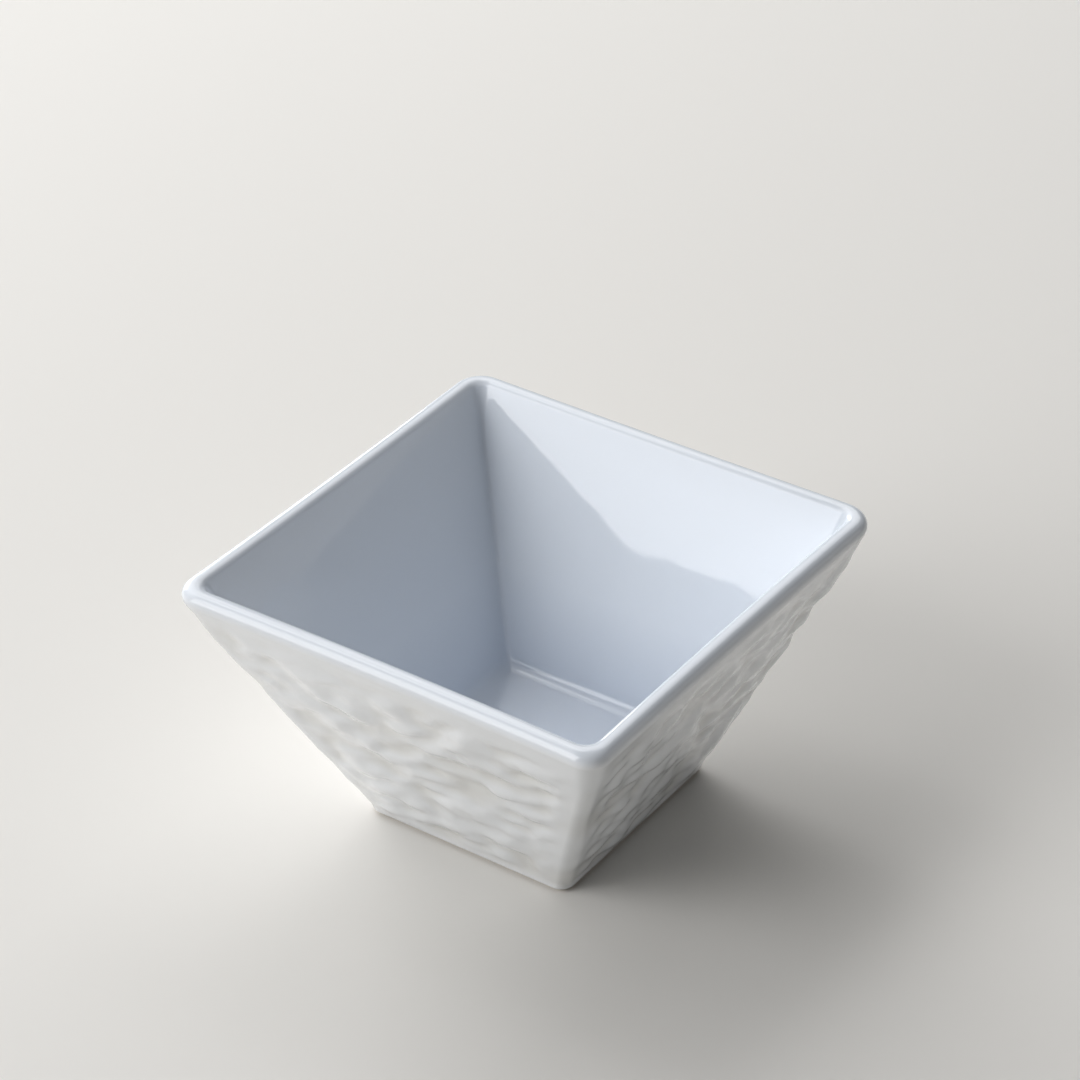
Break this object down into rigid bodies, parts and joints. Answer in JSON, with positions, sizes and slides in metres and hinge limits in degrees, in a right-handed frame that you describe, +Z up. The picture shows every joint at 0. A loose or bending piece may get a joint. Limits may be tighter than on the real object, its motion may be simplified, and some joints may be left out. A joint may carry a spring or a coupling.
{
  "type": "square bowl",
  "caption": "Small square porcelain bowl with sloping walls, a rounded rim, a smooth glazed inside and a flat unglazed foot ring, for side dishes.",
  "frame": {"origin": "middle of the standing face, on the table", "axes": "+Z up, towards the open mouth; +X and +Y square to two of the four walls"},
  "size_m": [0.0894, 0.0894, 0.0526],
  "materials": {
    "porcelain": "fired porcelain biscuit, bare and matt on the standing ring",
    "glaze": "clear glossy glaze, cool white"
  },
  "bodies": {
    "root": {"porcelain_body": "porcelain", "glaze_coat": "glaze", "foot_well_glaze": "glaze"}
  },
  "joints": []
}
